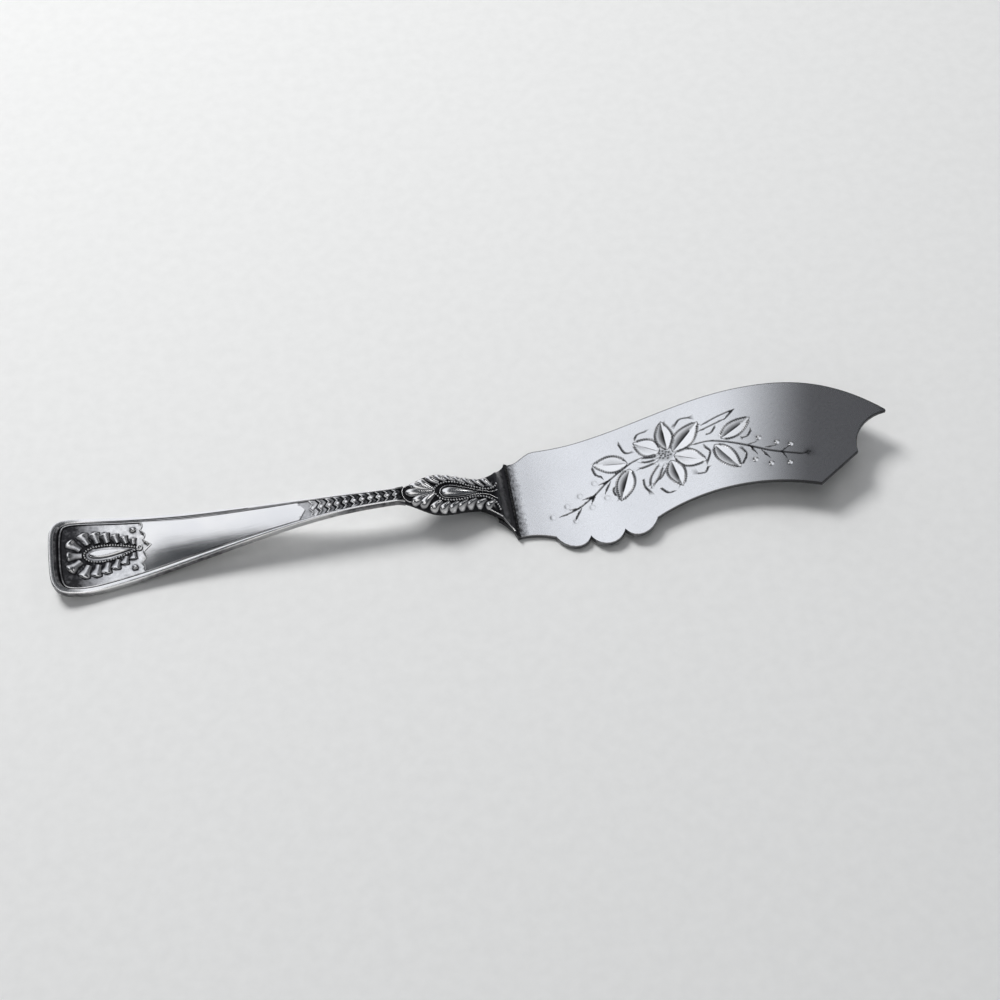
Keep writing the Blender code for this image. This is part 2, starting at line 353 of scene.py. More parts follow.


# The rim is painted lighter as painted highlight where the panel runs out on the stem, and near the broad
# end.
rings, ring_marks = [], []
painted_highlight_band = ramp(outline[:, 0], -66.0 * MM, -52.0 * MM) * ramp(outline[:, 0], -36.0 * MM, -44.0 * MM)
painted_highlight_band += np.exp(-((outline[:, 0] + 88.0 * MM) / (6.0 * MM)) ** 2)
# Side walls and underside: painted dark as painted shade, lighter in the painted highlight bands.
for inset, rise in back_profile:
    plan = outline + inward * (inset * MM * scale)[:, None]
    rings.append(np.column_stack((plan, under_line(plan[:, 0]) + rise * MM)))
    ring_marks.append(0.30 + 0.5 * inset + 0.35 * painted_highlight_band)
for inset, rise in rim_profile:
    plan = drawn_in(inset)
    rings.append(np.column_stack((plan, top_line(plan[:, 0]) + rise * MM * np.sqrt(scale))))
    # The outer rounding is painted dark on the front and at the ends as painted shade, and left bright at
    # the back.
    front = np.minimum(0.26 + 3.0 * inset + 0.6 * painted_highlight_band, rim_relief)
    outer = front + (rim_relief - front) * np.clip(-2.0 * inward[:, 1], 0, 1)
    inner = np.full(len(plan), np.clip(1.0 + rise * 2.6, 0.05, 1.0) if inset < thread_end else 0.15)
    # Across the broad end the inner slopes are painted darker still, as painted shade.
    inner *= 1 - (0.75 if inset < groove_end else 0.55) * np.clip(inward[:, 0], 0, 1) ** 2
    ring_marks.append(inner if inset > rim_crest else outer)
inner_loop = drawn_in(border_width / MM)
count = len(outline)
corners = np.concatenate(rings)
marks = np.concatenate(ring_marks)
faces = []
for ring in range(len(rings) - 1):
    for k in range(count - 1):
        first = ring * count + k
        faces.append((first, first + 1, first + count + 1, first + count))
for k in range(count // 2 - 1):
    faces.append((k, count - 1 - k, count - 2 - k, k + 1))
spots = []
for x in np.arange(-82.0 * MM, neck_start - 0.4 * MM, 1.1 * MM):
    for share in np.linspace(-0.88, 0.88, 11):
        spots.append((x, share * panel_half(x)))
for x in np.arange(-100.6 * MM, -82.9 * MM, 0.45 * MM):
    spots += [(x, y) for y in np.arange(-8.1 * MM, 8.2 * MM, 0.45 * MM)]
spots = np.array(spots)
close_loop = drawn_in(border_width / MM + 0.4)
spots = spots[inside(spots, close_loop)]
lines = []
for line, sign in ((bracket_line, -1), (channel_line, 1)):
    reach = float(panel_half(line(np.array(0.0)))) - 0.25 * MM
    across = np.linspace(-reach, reach, 2 * int(reach / (0.2 * MM)) + 1)
    lines.append(np.column_stack((line(across), across)))
    lines.append(np.column_stack((line(across) + sign * 0.14 * MM, across)))
plan, inlay = fill_plan(inner_loop, lines, spots)
heights = inlay_height(plan[:, 0], plan[:, 1])
first = len(corners)
corners = np.concatenate((corners, np.column_stack((plan, top_line(plan[:, 0]) + heights))))
# Oxide lies in the channel and in the sunk ground. Painted shade makes the channel darker next to the neck,
# and the ground darker at the very end.
channel_oxide_and_shade = 0.12 + 0.4 * ramp(plan[:, 0], -38.0 * MM, -46.0 * MM)
ground_oxide_and_shade = 0.22 + 0.42 * ramp(plan[:, 0], -97.5 * MM, -90.0 * MM)
inlay_mark = np.where(plan[:, 0] > channel_line(plan[:, 1]), channel_oxide_and_shade, panel_relief)
inlay_mark = np.where(plan[:, 0] < bracket_line(plan[:, 1]), ground_oxide_and_shade, inlay_mark)
marks = np.concatenate((marks, inlay_mark))
faces += [tuple(first + k for k in face) for face in inlay]
last = (len(rings) - 1) * count
for k in range(count - 1):
    faces.append((last + k, last + k + 1, first + k + 1, first + k))
rim_end = [ring * count for ring in range(len(rings))]
faces.append(rim_end + [first, first + count - 1] + [k + count - 1 for k in reversed(rim_end)])
shaft = make_piece("shaft", corners, faces, [shaft_silver], {"relief_and_painted_shade": marks}, crease=32.0)
# The panel and the ground meet the thread in a crisp line.
for edge in shaft.data.edges:
    low, high = sorted(edge.vertices)
    if low >= first and high < first + count and high - low == 1:
        edge.use_edge_sharp = True
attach(shaft, "root")
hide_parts("handle")

# Neck: the same bar, where it swells, turns down in front of the stem and spreads into the shoulder.
# It is rounded across, hollowed like a cove where it runs out on the blade, and stepped underneath for
# the blade's heel. The die leaves it dark between the lobes that lie on it.
lap_length = 3.5 * MM
seat_height = 1.30 * MM
edge_share = 0.60
neck_silver = struck_silver("neck_silver", 0.55, 0.15)


def neck_under(x):
    return np.where(x > -lap_length, seat_height, under_line(x))


def neck_side(x):
    """Height of the neck's edge. It climbs smoothly over the step of the lap."""
    climb = eased(ramp(x, -8.0 * MM, -lap_length))
    low = under_line(x) + climb * (seat_height - under_line(x))
    return low + edge_share * (top_line(x) - low)


def neck_surface(x, y):
    """Top of the neck, crowned from edge to edge."""
    across = np.clip(np.abs(y) / np.where(y > 0, half_back(x), half_edge(x)), 0, 1)
    side = neck_side(x)
    return side + (top_line(x) - side) * np.sqrt(1 - across ** 3.2)


def neck_y(x, turn):
    """Where a turn round the neck's section lies across the bar."""
    return math.cos(turn) * float(half_back(x) if turn < math.pi / 2 else half_edge(x))


places = np.concatenate((np.arange(neck_start - 0.6 * MM, -lap_length, 0.25 * MM),
                         [-lap_length - 0.01 * MM, -lap_length + 0.01 * MM],
                         np.arange(-lap_length + 0.1 * MM, -0.05 * MM, 0.1 * MM), [0.0]))
turns = np.linspace(0.0, math.pi, 37)
count = 2 * len(turns) - 2
corners, marks, faces = [], [], []
for x in places:
    for turn in turns:
        y = neck_y(x, turn)
        corners.append((x, y, float(neck_surface(np.array(x), np.array(y)))))
    low, side = float(neck_under(x)), float(neck_side(x))
    for turn in turns[-2:0:-1]:
        across = abs(math.cos(turn))
        corners.append((x, neck_y(x, turn), side - (side - low) * (1 - across ** 4) ** 0.33))
    cove = ramp(x, -3.2 * MM, -2.0 * MM) * ramp(x, 0.0, -1.5 * MM)
    marks += [0.12 + 0.34 * cove] * count
for ring in range(len(places) - 1):
    for k in range(count):
        a, b = ring * count + k, ring * count + (k + 1) % count
        faces.append((a, b, b + count, a + count))
faces.append(tuple(range(count)))
faces.append(tuple(range(len(corners) - count, len(corners))))
neck = make_piece("neck", corners, faces, [neck_silver], {"relief_and_painted_shade": marks}, crease=50.0)
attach(neck, "root")
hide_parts("handle")

# Palmette of the broad end: fifteen fingers fanned round a drop-shaped boss with a row of beads, struck in
# the same blow as the shaft and standing up from the sunk ground, with two pellets beside the tail and a
# raised wire along the bracket that closes the ground off. Each finger is a ridge with its tip rolled over.
finger_height = 0.50 * MM
fingers = (
    ((-96.1, 1.5), (-98.9, 3.8), 1.36), ((-94.4, 2.7), (-95.9, 5.8), 1.34),
    ((-92.3, 2.8), (-93.2, 5.85), 1.26), ((-90.2, 2.6), (-90.9, 5.35), 1.20),
    ((-88.0, 2.2), (-88.8, 4.6), 1.14), ((-86.1, 1.7), (-86.8, 3.7), 1.08),
    ((-84.5, 1.1), (-84.7, 2.8), 0.95),
)
finger_fullness = 1.2
bead_radius = 0.26 * MM
bead_gap = 0.60 * MM
boss_height = 0.48 * MM
pellet_radius = 0.66 * MM
pellet_gap = 9.7 * MM
wire_radius = 0.21 * MM


def drop_line(round_end, tail_end, half_width, turns):
    """Points of a drop-shaped outline: round at one end, drawn out to a tail at the other."""
    turns = np.asarray(turns)
    middle, reach = (round_end + tail_end) / 2, (tail_end - round_end) / 2
    x = middle + reach * np.cos(turns)
    y = half_width / 0.727 * np.sin(turns) * np.abs(np.sin(turns / 2)) ** 1.2
    return np.column_stack((x, y))


def sheet_faces(first, rows, columns):
    """Faces of a sheet of corners set in rows, closed below by one face round its rim."""
    wide = columns + 1
    faces = []
    for i in range(rows):
        for j in range(columns):
            a = first + i * wide + j
            faces.append((a, a + wide, a + wide + 1, a + 1))
    rim = [first + j for j in range(wide)]
    rim += [first + i * wide + columns for i in range(1, rows + 1)]
    rim += [first + rows * wide + j for j in range(columns - 1, -1, -1)]
    rim += [first + i * wide for i in range(rows - 1, 0, -1)]
    return faces + [tuple(rim)]


def finger_form(name):
    """A finger one long, two across and one high: a ridge that flares to a broad tip, which is rolled up."""
    rows, columns = 18, 12
    corners = []
    for i in range(rows + 1):
        t = i / rows
        close = math.sqrt(max(0.0, 1 - (max(t - 0.80, 0.0) / 0.20) ** 2))
        half = (0.63 + 0.42 * eased(ramp(t, 0.25, 0.85))) * max(close, 0.03)
        crest = (0.77 + 0.23 * math.exp(-((t - 0.82) / 0.14) ** 2)) * close ** 0.7
        for j in range(columns + 1):
            v = -1 + 2 * j / columns
            corners.append((t, v * half, crest * (1 - abs(v) ** 1.7) ** 0.8 - 0.1))
    return make_piece(name, corners, sheet_faces(0, rows, columns), [], crease=60.0)


def new_tree(name, sockets):
    """A Geometry Nodes tree with a guide to work on and named inputs."""
    tree = bpy.data.node_groups.new(name, "GeometryNodeTree")
    tree.interface.new_socket("Made", in_out="OUTPUT", socket_type="NodeSocketGeometry")
    tree.interface.new_socket("Guide", in_out="INPUT", socket_type="NodeSocketGeometry")
    for label, kind in sockets:
        tree.interface.new_socket(label, in_out="INPUT", socket_type="NodeSocket" + kind)
    return tree, tree.nodes.new("NodeGroupInput").outputs


def end_tree(tree, geometry, material, smooth=True):
    """Ends a tree: made smooth unless its form is creased, realised, with its material."""
    if smooth:
        geometry = add_node(tree, "GeometryNodeSetShadeSmooth", Geometry=geometry)
    real = add_node(tree, "GeometryNodeRealizeInstances", Geometry=geometry)
    painted = add_node(tree, "GeometryNodeSetMaterial", Geometry=real, Material=material)
    add_node(tree, "NodeGroupOutput", Made=painted)


def grow(name, guide, tree, **values):
    """Runs a tree on a guide mesh and keeps what it makes as a plain mesh."""
    piece = bpy.data.objects.new(name, guide)
    bpy.context.scene.collection.objects.link(piece)
    modifier = piece.modifiers.new(tree.name, "NODES")
    modifier.node_group = tree
    for item in tree.interface.items_tree:
        if item.in_out == "INPUT" and item.name.replace(" ", "_") in values:
            modifier[item.identifier] = values[item.name.replace(" ", "_")]
    ready = piece.evaluated_get(bpy.context.evaluated_depsgraph_get())
    mesh = bpy.data.meshes.new_from_object(ready)
    piece.modifiers.clear()
    piece.data = mesh
    mesh.name = name
    bpy.data.meshes.remove(guide)
    return piece


def path_guide(lines, closed=False, breadth=None):
    """A guide mesh of one or more lines drawn flat, in plan."""
    guide = bpy.data.meshes.new("guide")
    points, edges = [], []
    for line in lines:
        first = len(points)
        points += [(x, y, 0.0) for x, y in line]
        edges += [(i, i + 1) for i in range(first, len(points) - 1)]
        if closed:
            edges.append((len(points) - 1, first))
    guide.from_pydata(points, edges, [])
    if breadth is not None:
        kept = guide.attributes.new("breadth", "FLOAT", "POINT")
        kept.data.foreach_set("value", np.asarray(breadth, dtype=np.float32))
    return guide


def fan_guide(roots, tips, halves):
    """A guide mesh with one point at each finger's root, and its reach and half its width."""
    guide = bpy.data.meshes.new("guide")
    guide.from_pydata([(x, y, 0.0) for x, y in roots], [], [])
    reach = guide.attributes.new("reach", "FLOAT_VECTOR", "POINT")
    for entry, root, tip in zip(reach.data, roots, tips):
        entry.vector = (tip[0] - root[0], tip[1] - root[1], 0.0)
    half = guide.attributes.new("half", "FLOAT", "POINT")
    half.data.foreach_set("value", np.asarray(halves, dtype=np.float32))
    return guide


def corners_of(mesh):
    """A mesh's corners, one to a row."""
    corners = np.empty(3 * len(mesh.vertices), dtype=np.float32)
    mesh.vertices.foreach_get("co", corners)
    return corners.reshape(-1, 3).astype(float)


def settle(piece, surface, full):
    """Lays a piece drawn flat onto the surface under it. full is the height from which it is worn bright."""
    mesh = piece.data
    flat = corners_of(mesh)
    height = flat[:, 2].copy()
    flat[:, 2] = surface(flat[:, 0], flat[:, 1]) + height
    mesh.vertices.foreach_set("co", flat.astype(np.float32).ravel())
    full = full(flat[:, 0]) if callable(full) else full
    relief_and_painted_shade = mesh.attributes.new("relief_and_painted_shade", "FLOAT", "POINT")
    relief_and_painted_shade.data.foreach_set("value", np.clip(height / full, 0.0, 1.0).astype(np.float32))
    mesh.update()


def reach_to(points, line):
    """Distance from points to a line, and the place along the line."""
    best = np.full(len(points), 1.0)
    where = np.zeros(len(points))
    for i, (a, b) in enumerate(zip(line[:-1], line[1:])):
        ab = b - a
        t = np.clip(((points - a) @ ab) / max(ab @ ab, 1e-18), 0, 1)
        gap = np.linalg.norm(points - a - t[:, None] * ab, axis=1)
        closer = gap < best
        best[closer] = gap[closer]
        where[closer] = i + t[closer]
    return best, where


def stain(piece, line, half, spread, left):
    """Leaves oxide on a piece along a line: dark as far as half, then fading over the spread."""
    mesh = piece.data
    marks = np.empty(len(mesh.vertices), dtype=np.float32)
    mesh.attributes["relief_and_painted_shade"].data.foreach_get("value", marks)
    gap, _ = reach_to(corners_of(mesh)[:, :2], line)
    marks = np.minimum(marks, left + (1 - left) * ramp(gap, half, half + spread))
    mesh.attributes["relief_and_painted_shade"].data.foreach_set("value", marks.astype(np.float32))


def kept_at_points(tree, name, kind="FLOAT"):
    """Reads what a guide mesh keeps at its points."""
    return add_node(tree, "GeometryNodeInputNamedAttribute", {"data_type": kind}, Name=name)


fan_tree, given = new_tree("fan_of_fingers", (("Finger form", "Object"), ("Height", "Float"),
                                              ("Silver", "Material")))
form = add_node(fan_tree, "GeometryNodeObjectInfo", Object=given["Finger form"])
reach = kept_at_points(fan_tree, "reach", "FLOAT_VECTOR")
half = kept_at_points(fan_tree, "half")
length = add_node(fan_tree, "ShaderNodeVectorMath", {"operation": "LENGTH"}, at_0=reach)
size = add_node(fan_tree, "ShaderNodeCombineXYZ", X=length.outputs["Value"], Y=half, Z=given["Height"])
aim = add_node(fan_tree, "FunctionNodeAlignRotationToVector", {"axis": "X", "pivot_axis": "Z"},
               Vector=reach)
fan = add_node(fan_tree, "GeometryNodeInstanceOnPoints", Points=given["Guide"],
               Instance=form.outputs["Geometry"], Rotation=aim, Scale=size)
end_tree(fan_tree, fan, given["Silver"])

bead_tree, given = new_tree("row_of_beads", (("Bead radius", "Float"), ("Gap", "Float"),
                                             ("Silver", "Material")))
line = add_node(bead_tree, "GeometryNodeMeshToCurve", Mesh=given["Guide"])
spaced = add_node(bead_tree, "GeometryNodeResampleCurve", {"mode": "LENGTH"}, Curve=line,
                  Length=given["Gap"])
bead = add_node(bead_tree, "GeometryNodeMeshIcoSphere", Radius=given["Bead radius"], Subdivisions=2)
beads = add_node(bead_tree, "GeometryNodeInstanceOnPoints", Points=spaced, Instance=bead)
end_tree(bead_tree, beads, given["Silver"])

sweep_tree, given = new_tree("rounded_along_path", (("Flatness", "Float"), ("Silver", "Material")))
line = add_node(sweep_tree, "GeometryNodeMeshToCurve", Mesh=given["Guide"])
breadth = kept_at_points(sweep_tree, "breadth")
ring = add_node(sweep_tree, "GeometryNodeCurvePrimitiveCircle", Resolution=12, Radius=1.0)
swept = add_node(sweep_tree, "GeometryNodeCurveToMesh", Curve=line, Profile_Curve=ring.outputs["Curve"],
                 Scale=breadth, Fill_Caps=True)
squash = add_node(sweep_tree, "ShaderNodeCombineXYZ", X=1.0, Y=1.0, Z=given["Flatness"])
flat = add_node(sweep_tree, "GeometryNodeTransform", Geometry=swept, Scale=squash)
end_tree(sweep_tree, flat, given["Silver"])


def row_of_beads(name, line, radius, gap, silver):
    return grow(name, path_guide([line]), bead_tree, Bead_radius=radius, Gap=gap, Silver=silver)


def ridge(name, lines, halves, silver, flatness=1.0, closed=False):
    """Rounded ridges along lines, with half their width given point by point."""
    return grow(name, path_guide(lines, closed, halves), sweep_tree, Flatness=flatness, Silver=silver)


finger = finger_form("finger_form")
roots = [np.array((-95.9, 0.0)) * MM]
tips = [np.array((-99.3, 0.0)) * MM]
halves = [1.55 * MM]
for root, tip, half in fingers:
    for side in (1, -1):
        roots.append(np.array(root) * (MM, side * MM))
        tips.append(np.array(tip) * (MM, side * MM))
        halves.append(half * finger_fullness * MM)
end_fan = grow("end_palmette_fingers", fan_guide(roots, tips, halves), fan_tree, Finger_form=finger,
               Height=finger_height, Silver=shaft_silver)
settle(end_fan, shaft_surface, finger_height * 1.15)
bpy.data.objects.remove(finger)

round_turns = np.linspace(0.12, 2 * math.pi - 0.12, 90)
bead_line = drop_line(-95.4 * MM, -83.1 * MM, 2.0 * MM, round_turns)
end_beads = row_of_beads("end_palmette_beads", bead_line, bead_radius, bead_gap, shaft_silver)
settle(end_beads, lambda x, y: shaft_surface(x, y) + 0.10 * MM, bead_radius * 0.7)
pellet_line = np.array(((-84.4 * MM, 4.85 * MM), (-84.4 * MM, -4.85 * MM)))
pellets = row_of_beads("end_pellets", pellet_line, pellet_radius, pellet_gap, shaft_silver)
settle(pellets, shaft_surface, pellet_radius * 0.5)


def drop_boss(name, outline, middle, height, silver):
    """A smooth boss over a drop-shaped outline, highest at its middle."""
    rows = 7
    corners, faces = [(middle, 0.0, height)], []
    count = len(outline)
    for row in range(1, rows + 1):
        share = row / rows
        for x, y in outline:
            corners.append((middle + (x - middle) * share, y * share, height * (1 - share ** 2.8) ** 0.55))
    corners += [(x, y, -0.1 * MM) for x, y in outline]
    for k in range(count):
        after = (k + 1) % count
        faces.append((0, 1 + k, 1 + after))
        for row in range(rows):
            a, b = 1 + row * count + k, 1 + row * count + after
            faces.append((a, a + count, b + count, b))
    faces.append(tuple(1 + rows * count + k for k in reversed(range(count))))
    return make_piece(name, corners, faces, [silver], crease=60.0)


boss_turns = np.linspace(0.0, 2 * math.pi, 60, endpoint=False)
end_boss = drop_boss("end_boss", drop_line(-94.5 * MM, -84.4 * MM, 1.12 * MM, boss_turns), -92.8 * MM,
                     boss_height, shaft_silver)
settle(end_boss, shaft_surface, boss_height)
reach = float(panel_half(bracket_line(np.array(0.0)))) - 0.1 * MM
across = np.linspace(-reach, reach, 121)
bracket_path = np.column_stack((bracket_line(across) + 0.05 * MM, across))
end_wire = ridge("end_bracket_wire", [bracket_path], [wire_radius] * len(bracket_path), shaft_silver)
settle(end_wire, lambda x, y: top_line(x) + panel_height(x, y), wire_radius)
ring_turns = np.linspace(0.0, 2 * math.pi, 24, endpoint=False)
eye_path = np.column_stack((-83.2 * MM + 0.55 * MM * np.cos(ring_turns), 0.55 * MM * np.sin(ring_turns)))
end_eye = ridge("end_eye", [eye_path], [wire_radius * 1.2] * len(eye_path), shaft_silver, closed=True)
settle(end_eye, lambda x, y: top_line(x) - ground_depth + 0.12 * MM, wire_radius)
# Oxide stays beside the fingers and the beads, along the bracket and round the pellets.
for root, tip, half in zip(roots, tips, halves):
    stain(shaft, np.array((root, root + 0.70 * (tip - root))), half * 0.62, 0.40 * MM, 0.14)
stain(shaft, bead_line, 0.2 * MM, 0.5 * MM, 0.05)
stain(shaft, bracket_path - (0.30 * MM, 0.0), 0.06 * MM, 0.3 * MM, 0.55)
for spot in pellet_line:
    stain(shaft, np.array((spot, spot + 0.01 * MM)), pellet_radius, 0.5 * MM, 0.05)
for piece in (end_fan, end_beads, pellets, end_boss, end_wire, end_eye):
    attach(piece, "root")

# Chain of the stem: eleven like links struck along the channel, each a pair of scales that point to the
# blade with a small flat-topped diamond between them. The hollows are dark, and only the sharp ridges
# are worn bright. Towards the neck the links are painted darker, as painted shade.
link_count = 11
link_height = 0.34 * MM
chain_start, chain_end = -44.85 * MM, -26.35 * MM
chain_silver = struck_silver("chain_silver", 0.5, 0.16)


def chain_link(name):
    """One link, one long, two across and one high: two scales with arrow-shaped crests, and a diamond."""
    corners, faces = [], []
    runs = ((-0.09, 0.0), (-0.03, 1.0), (0.05, 1.0), (0.13, 0.24), (0.55, 0.36), (0.88, 0.05))
    columns = 6
    for side in (1, -1):
        faces += sheet_faces(len(corners), len(runs) - 1, columns)
        for run, rise in runs:
            for j in range(columns + 1):
                b = j / columns
                point = 0.38 * (1 - abs(2 * b - 1))
                corners.append((run + point, side * (0.04 + 0.96 * b), rise - 0.05))
    first = len(corners)
    for size, rise in ((1.0, -0.05), (0.5, 1.3)):
        corners += [(0.40 + 0.40 * size, 0, rise), (0.40, 0.46 * size, rise), (0.40 - 0.40 * size, 0, rise),
                    (0.40, -0.46 * size, rise)]
    faces += [(first + k, first + (k + 1) % 4, first + 4 + (k + 1) % 4, first + 4 + k) for k in range(4)]
    faces += [tuple(first + k for k in (3, 2, 1, 0)), tuple(first + k for k in (4, 5, 6, 7))]
    return make_piece(name, corners, faces, [], crease=25.0)


chain_tree, given = new_tree("chain_of_links", (("Link form", "Object"), ("Links", "Int"),
                                                ("Link length", "Float"), ("Height", "Float"),
                                                ("Silver", "Material")))
form = add_node(chain_tree, "GeometryNodeObjectInfo", Object=given["Link form"])
line = add_node(chain_tree, "GeometryNodeMeshToCurve", Mesh=given["Guide"])
spaced = add_node(chain_tree, "GeometryNodeResampleCurve", {"mode": "COUNT"}, Curve=line,
                  Count=given["Links"])
breadth = kept_at_points(chain_tree, "breadth")
size = add_node(chain_tree, "ShaderNodeCombineXYZ", X=given["Link length"], Y=breadth, Z=given["Height"])
links = add_node(chain_tree, "GeometryNodeInstanceOnPoints", Points=spaced,
                 Instance=form.outputs["Geometry"], Scale=size)
end_tree(chain_tree, links, given["Silver"], smooth=False)
link_form = chain_link("link_form")
axis = np.column_stack((np.linspace(chain_start, chain_end, 40), np.zeros(40)))
chain = grow("stem_chain", path_guide([axis], breadth=panel_half(axis[:, 0])), chain_tree,
             Link_form=link_form, Links=link_count, Height=link_height, Silver=chain_silver,
             Link_length=(chain_end - chain_start) / (link_count - 1))
# Painted shade: the height from which links count as bright grows towards the neck, so they darken there.
settle(chain, lambda x, y: top_line(x) - channel_depth,
       lambda x: link_height * (1 - 0.62 * ramp(x, -36.0 * MM, -44.0 * MM)))
bpy.data.objects.remove(link_form)
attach(chain, "root")

# Palmette of the neck: one long lobe to the stem and nine swept back on each side, round a smooth boss
# that forks at the shoulder. A row of beads follows the boss and runs out in two curls. All of it is
# struck with the neck, high and smooth, with black oxide left between the lobes.
lobe_flatness = 0.72
first_lobe_tip, lobe_pitch = -22.3, 2.05
lobe_halves = (1.10, 1.10, 1.08, 1.02, 0.94, 0.88, 0.84, 0.84, 0.86)
lobe_steps = np.array((0.0, 0.15, 0.3, 0.45, 0.58, 0.7, 0.8, 0.88, 0.94, 0.98, 1.0))
neck_bead_radius = 0.26 * MM
neck_bead_gap = 0.62 * MM
neck_boss_height = 0.60 * MM
thread_radius = 0.11 * MM
flare_radius = 0.19 * MM
boss_tip = (-15.9, -0.45)
boss_back_side = ((-15.46, 0.61), (-14.48, 1.29), (-13.0, 1.46), (-11.3, 1.14), (-9.6, 0.69), (-7.9, 0.30),
                  (-6.2, 0.05), (-4.4, -0.12), (-2.8, 0.35))
boss_edge_side = ((-15.3, -1.49), (-13.9, -1.80), (-12.1, -1.76), (-10.0, -1.50), (-8.1, -1.07),
                  (-6.3, -0.80), (-4.6, -1.00), (-3.0, -1.95))
row_tip = (-17.1, 0.0)
row_back_side = ((-16.64, 1.01), (-15.63, 1.79), (-14.33, 2.26), (-12.9, 2.25), (-11.5, 2.02), (-10.3, 1.56),
                 (-8.5, 0.98), (-6.5, 0.52), (-4.7, 0.50))
row_edge_side = ((-16.75, -0.87), (-15.86, -1.96), (-14.5, -2.45), (-12.6, -2.53), (-11.0, -2.38),
                 (-9.3, -1.95), (-7.3, -1.58), (-5.9, -1.62), (-4.7, -1.98))
back_curl = ((-3.4, 1.05), (-2.8, 1.85))
edge_curl = ((-3.76, -2.6), (-3.22, -3.63), (-2.89, -4.81))
curls = (
    ((-6.2, 1.35), (-4.9, 1.45), (-4.0, 1.95), (-3.5, 2.75), (-3.6, 3.5)),
    ((-5.7, -2.55), (-4.8, -3.05), (-4.1, -3.9), (-3.7, -4.9), (-3.6, -5.6)),
)
curl_half = 0.42 * MM


def curve_through(points, gap):
    """A smooth line through a few points of the design, in metres."""
    points = np.array(points, dtype=float) * MM
    if len(points) < 3:
        return even_points(points, gap)
    ends = np.concatenate(([2 * points[0] - points[1]], points, [2 * points[-1] - points[-2]]))
    line = []
    for a, b, c, d in zip(ends[:-3], ends[1:-2], ends[2:-1], ends[3:]):
        for t in np.linspace(0, 1, 12, endpoint=False):
            line.append(0.5 * (2 * b + (c - a) * t + (2 * a - 5 * b + 4 * c - d) * t * t
                               + (3 * b - a - 3 * c + d) * t ** 3))
    return even_points(line + [points[-1]], gap)


def lobe_path(root, bend, tip):
    """A bent line from a lobe's root to its tip, closer set near the tip."""
    t = lobe_steps[:, None]
    return (1 - t) ** 2 * np.array(root) + 2 * t * (1 - t) * np.array(bend) + t * t * np.array(tip)


def lobe_breadth(half):
    """Half widths for a lobe path: slim at the root, full near the tip, then closed round."""
    swell = 0.58 + 0.42 * ramp(lobe_steps, 0.0, 0.6)
    return half * swell * np.sqrt(np.clip(1 - (np.clip(lobe_steps - 0.72, 0, 1) / 0.285) ** 2, 0.02, 1))


bead_row = back_curl[::-1] + row_back_side[::-1] + (row_tip,) + row_edge_side + edge_curl
bead_row = curve_through(bead_row, 0.1 * MM)
row_of = {}
for side, points in ((1, row_back_side), (-1, row_edge_side)):
    points = np.array((row_tip,) + points) * MM
    row_of[side] = smooth_line(points[:, 0], points[:, 1] * side)
lobe_paths = [lobe_path((-17.5 * MM, 0), (-20.0 * MM, 0), (-23.6 * MM, 0))]
lobe_breadths = [lobe_breadth(1.2 * MM)]
for i, lobe_half in enumerate(lobe_halves):
    tip_x = (first_lobe_tip + lobe_pitch * i) * MM
    root_x = tip_x + (1.9 + 3.1 * math.exp(-i) + 0.05 * i) * MM
    for side in (1, -1):
        root_y = float(row_of[side](root_x)) + 0.55 * MM
        half = float(half_back(tip_x) * 0.93 if side > 0 else half_edge(tip_x))
        bend = (tip_x + 0.35 * (root_x - tip_x), side * (root_y + 0.45 * (half - root_y)))
        lobe_paths.append(lobe_path((root_x, side * root_y), bend, (tip_x, side * half)))
        lobe_breadths.append(lobe_breadth(lobe_half * MM))
for curl in curls:
    path = curve_through(curl, 0.4 * MM)
    lobe_paths.append(path)
    lobe_breadths.append(curl_half * np.sin(np.linspace(0.5, math.pi - 0.25, len(path))))
lobe_breadths = np.concatenate(lobe_breadths)
lobes = ridge("neck_palmette_lobes", lobe_paths, lobe_breadths, neck_silver, lobe_flatness)
settle(lobes, neck_surface, 0.95 * MM * lobe_flatness)
neck_beads = row_of_beads("neck_palmette_beads", bead_row, neck_bead_radius, neck_bead_gap, neck_silver)
settle(neck_beads, lambda x, y: neck_surface(x, y) + 0.26 * MM, neck_bead_radius * 0.9)


def inset_loop(loop, distance):
    """A closed loop, anticlockwise, drawn in by a small distance."""
    before = loop - np.roll(loop, 1, axis=0)
    after = np.roll(loop, -1, axis=0) - loop
    before /= np.linalg.norm(before, axis=1)[:, None]
    after /= np.linalg.norm(after, axis=1)[:, None]
    lean = before + after
    lean /= np.linalg.norm(lean, axis=1)[:, None]
    square = np.column_stack((-lean[:, 1], lean[:, 0]))
    hold = np.clip(np.sum(square * np.column_stack((-before[:, 1], before[:, 0])), axis=1), 0.5, 1.0)
    return loop + square * (distance / hold)[:, None]


boss_back = curve_through((boss_tip,) + boss_back_side, 0.3 * MM)
boss_edge = curve_through((boss_tip,) + boss_edge_side, 0.3 * MM)
thread_loop = np.concatenate((boss_back, [(-3.4 * MM, -0.6 * MM)], boss_edge[:0:-1]))
boss_loop = inset_loop(thread_loop[::-1], 0.30 * MM)[::-1]
boss_spots = np.array([(x, y) for x in np.arange(-15.8 * MM, -2.6 * MM, 0.22 * MM)
                       for y in np.arange(-1.8 * MM, 1.5 * MM, 0.11 * MM)])
boss_spots = boss_spots[inside(boss_spots, boss_loop)]
boss_plan, boss_top = fill_plan(boss_loop[::-1], [], boss_spots)
to_rim, _ = reach_to(boss_plan, np.concatenate((boss_loop, boss_loop[:1])))
swell = ramp(to_rim, 0.0, 1.2 * MM)
crest = neck_boss_height * np.sqrt(1 - (1 - swell) ** 2)
